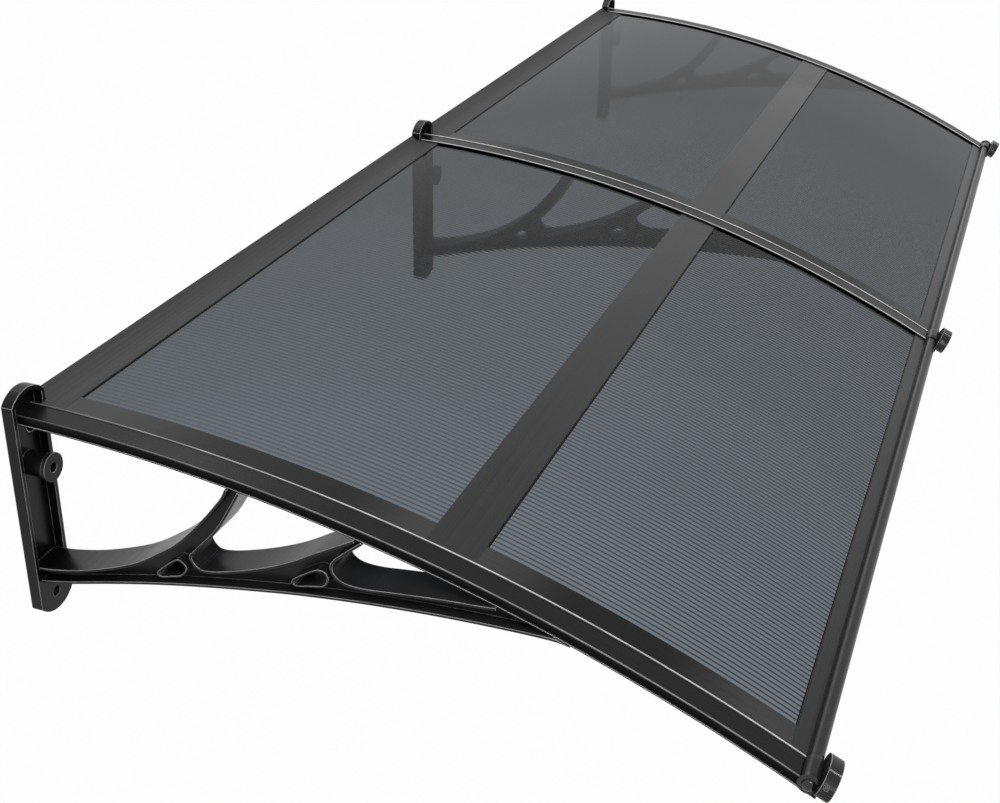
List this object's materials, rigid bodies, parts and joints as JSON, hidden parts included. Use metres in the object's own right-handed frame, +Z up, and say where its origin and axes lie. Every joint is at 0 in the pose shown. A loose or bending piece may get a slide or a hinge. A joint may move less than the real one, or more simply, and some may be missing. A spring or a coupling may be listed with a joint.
{
  "type": "door canopy",
  "caption": "Arched wall-mounted door canopy: smoked twin-wall sheets in dark metal rails, carried by moulded black brackets with open, curved struts.",
  "frame": {"origin": "centre of the middle bracket's wall plate, on its flat back", "axes": "+X along the wall, +Y into the wall, +Z up; the canopy reaches out towards -Y"},
  "size_m": [2.411, 0.9976, 0.313],
  "materials": {
    "moulded_plastic": "satin black moulded plastic",
    "coated_aluminium": "dark grey satin coating",
    "black_rubber": "matt",
    "smoked_sheet": "smoked translucent twin-wall polycarbonate",
    "screw_steel": "dark plated steel"
  },
  "bodies": {
    "root": {"bead_plug_left": "moulded_plastic", "bead_plug_right": "moulded_plastic", "bracket_left": "moulded_plastic", "bracket_middle": "moulded_plastic", "bracket_right": "moulded_plastic", "centre_bar_left": "coated_aluminium", "centre_bar_right": "coated_aluminium", "cover_strip_left": "coated_aluminium", "cover_strip_middle": "coated_aluminium", "cover_strip_right": "coated_aluminium", "edge_cover_left": "black_rubber", "edge_cover_right": "black_rubber", "front_rail_left": "coated_aluminium", "front_rail_right": "coated_aluminium", "gasket_left": "black_rubber", "gasket_middle": "black_rubber", "gasket_right": "black_rubber", "nose_screw_left": "screw_steel", "nose_screw_middle": "screw_steel", "nose_screw_right": "screw_steel", "rear_rail_left": "coated_aluminium", "rear_rail_right": "coated_aluminium", "sheet_front_left": "smoked_sheet", "sheet_front_right": "smoked_sheet", "sheet_rear_left": "smoked_sheet", "sheet_rear_right": "smoked_sheet", "side_bar_front_left": "coated_aluminium", "side_bar_front_right": "coated_aluminium", "side_bar_rear_left": "coated_aluminium", "side_bar_rear_right": "coated_aluminium"}
  },
  "joints": []
}
